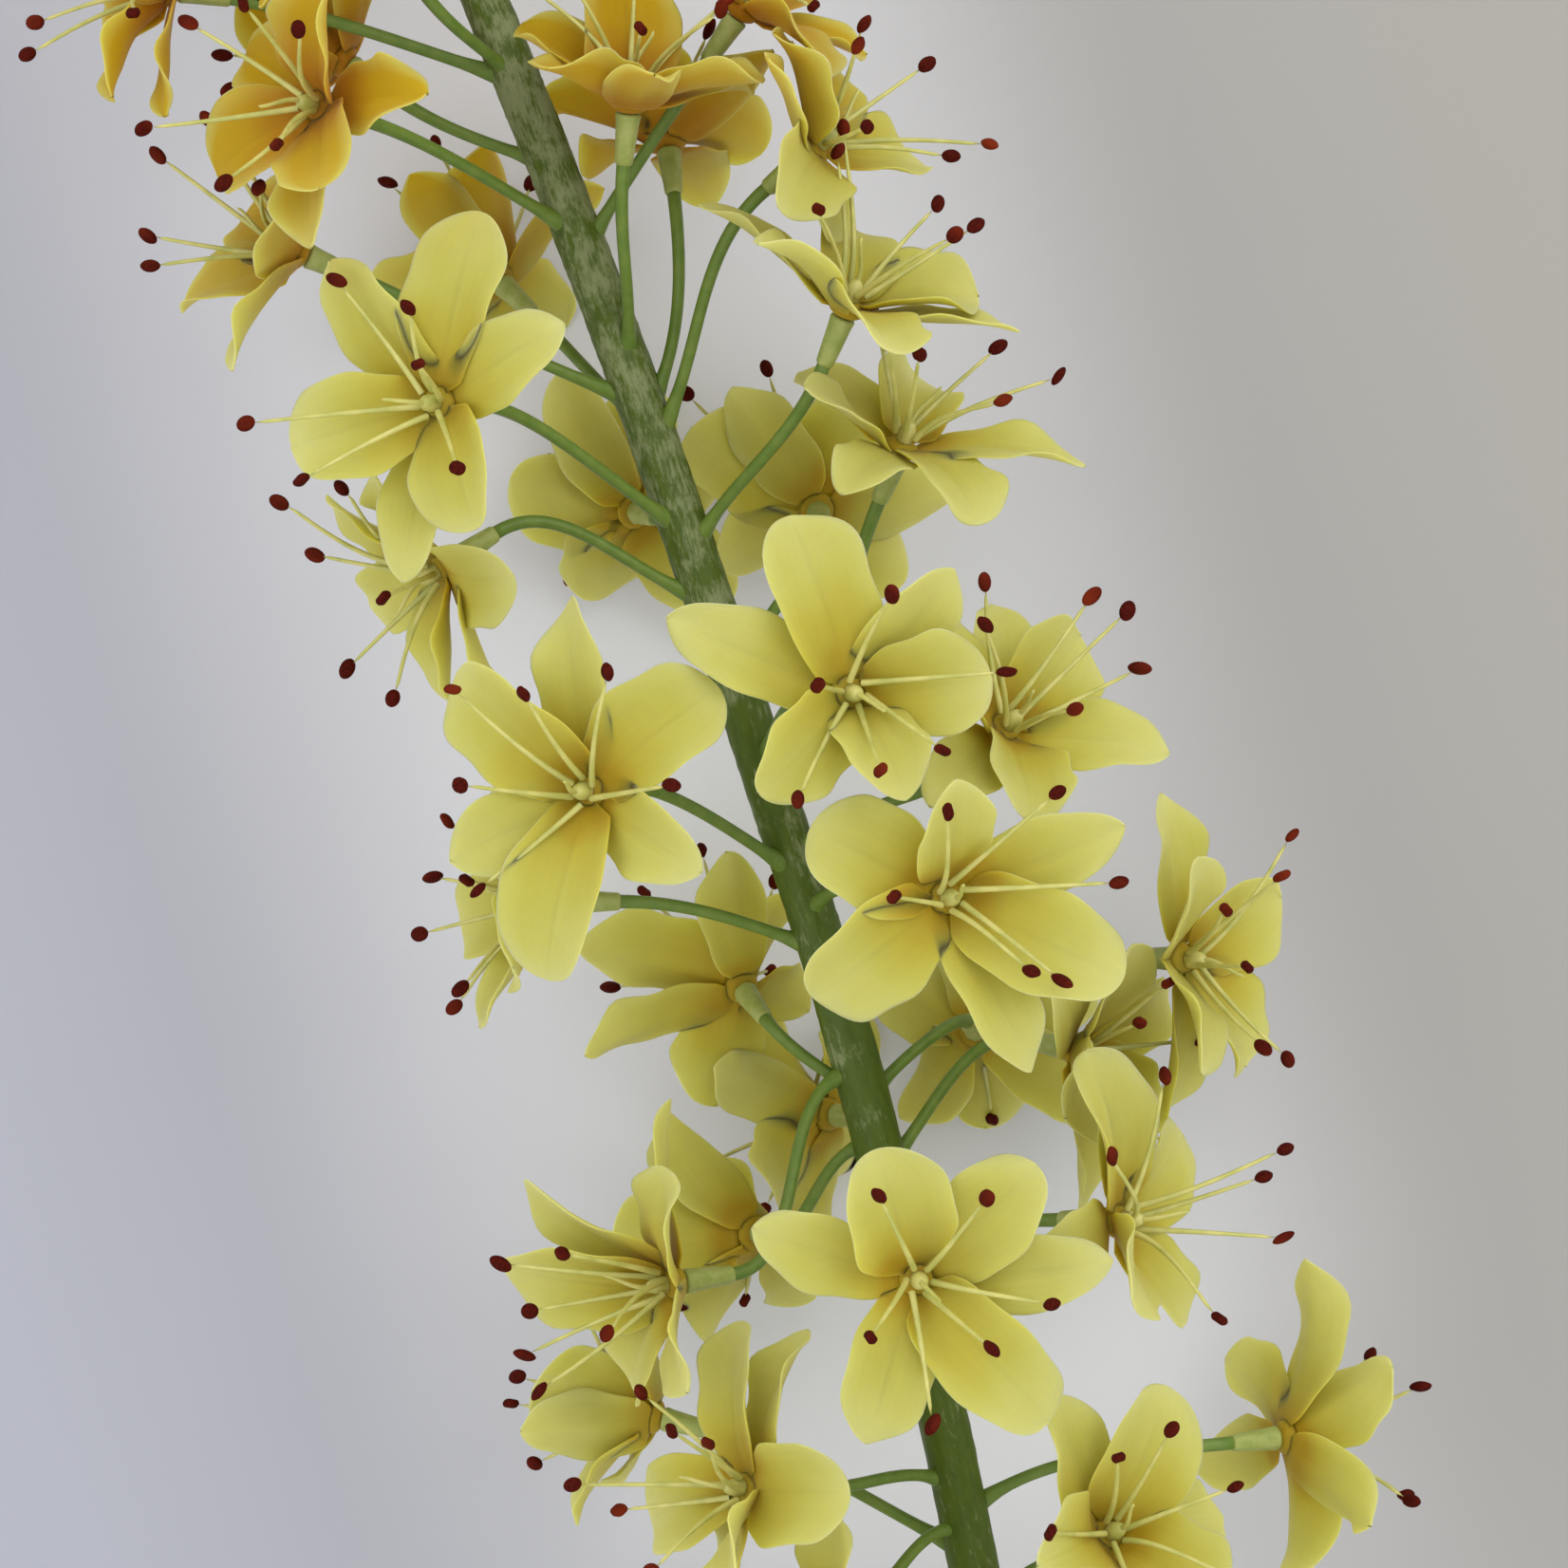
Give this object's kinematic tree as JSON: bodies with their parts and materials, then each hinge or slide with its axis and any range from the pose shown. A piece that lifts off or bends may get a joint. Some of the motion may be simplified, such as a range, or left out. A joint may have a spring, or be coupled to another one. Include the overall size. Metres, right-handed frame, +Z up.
{
  "type": "foxtail lily flower spike",
  "caption": "Cut foxtail lily spike lying on its side: a bowed green stem with open yellow florets on long thin stalks and a tip of green buds.",
  "frame": {"origin": "under the middle of the spike's box, on the surface it lies on", "axes": "+X along the spike from its cut end to its bud tip, +Z up from the surface, +Y across"},
  "size_m": [0.446, 0.0956, 0.0668],
  "materials": {
    "stem_green": "matte, mealy",
    "tepal_yellow": "soft matte",
    "tepal_gold": "soft matte"
  },
  "bodies": {
    "root": {"flower_stem": "stem_green", "floret_01": "tepal_gold", "floret_02": "tepal_gold", "floret_03": "tepal_gold", "floret_04": "tepal_gold", "floret_05": "tepal_gold", "floret_06": "tepal_yellow", "floret_07": "tepal_gold", "floret_08": "tepal_gold", "floret_09": "tepal_gold", "floret_10": "tepal_yellow", "floret_11": "tepal_yellow", "floret_12": "tepal_gold", "floret_13": "tepal_yellow", "floret_14": "tepal_yellow", "floret_15": "tepal_yellow", "floret_16": "tepal_yellow", "floret_17": "tepal_yellow", "floret_18": "tepal_yellow", "floret_19": "tepal_yellow", "floret_20": "tepal_yellow", "floret_21": "tepal_yellow", "floret_22": "tepal_yellow", "floret_23": "tepal_yellow", "floret_24": "tepal_yellow", "floret_25": "tepal_yellow", "floret_26": "tepal_yellow", "floret_27": "tepal_yellow", "floret_28": "tepal_yellow", "floret_29": "tepal_yellow", "floret_30": "tepal_yellow", "floret_31": "tepal_yellow", "floret_32": "tepal_yellow", "floret_33": "tepal_yellow", "floret_34": "tepal_yellow", "floret_35": "tepal_gold", "floret_36": "tepal_gold", "floret_37": "tepal_gold", "floret_38": "tepal_gold", "floret_39": "tepal_gold", "floret_40": "tepal_gold", "floret_41": "tepal_yellow", "floret_42": "tepal_yellow", "floret_43": "tepal_yellow"}
  },
  "joints": []
}
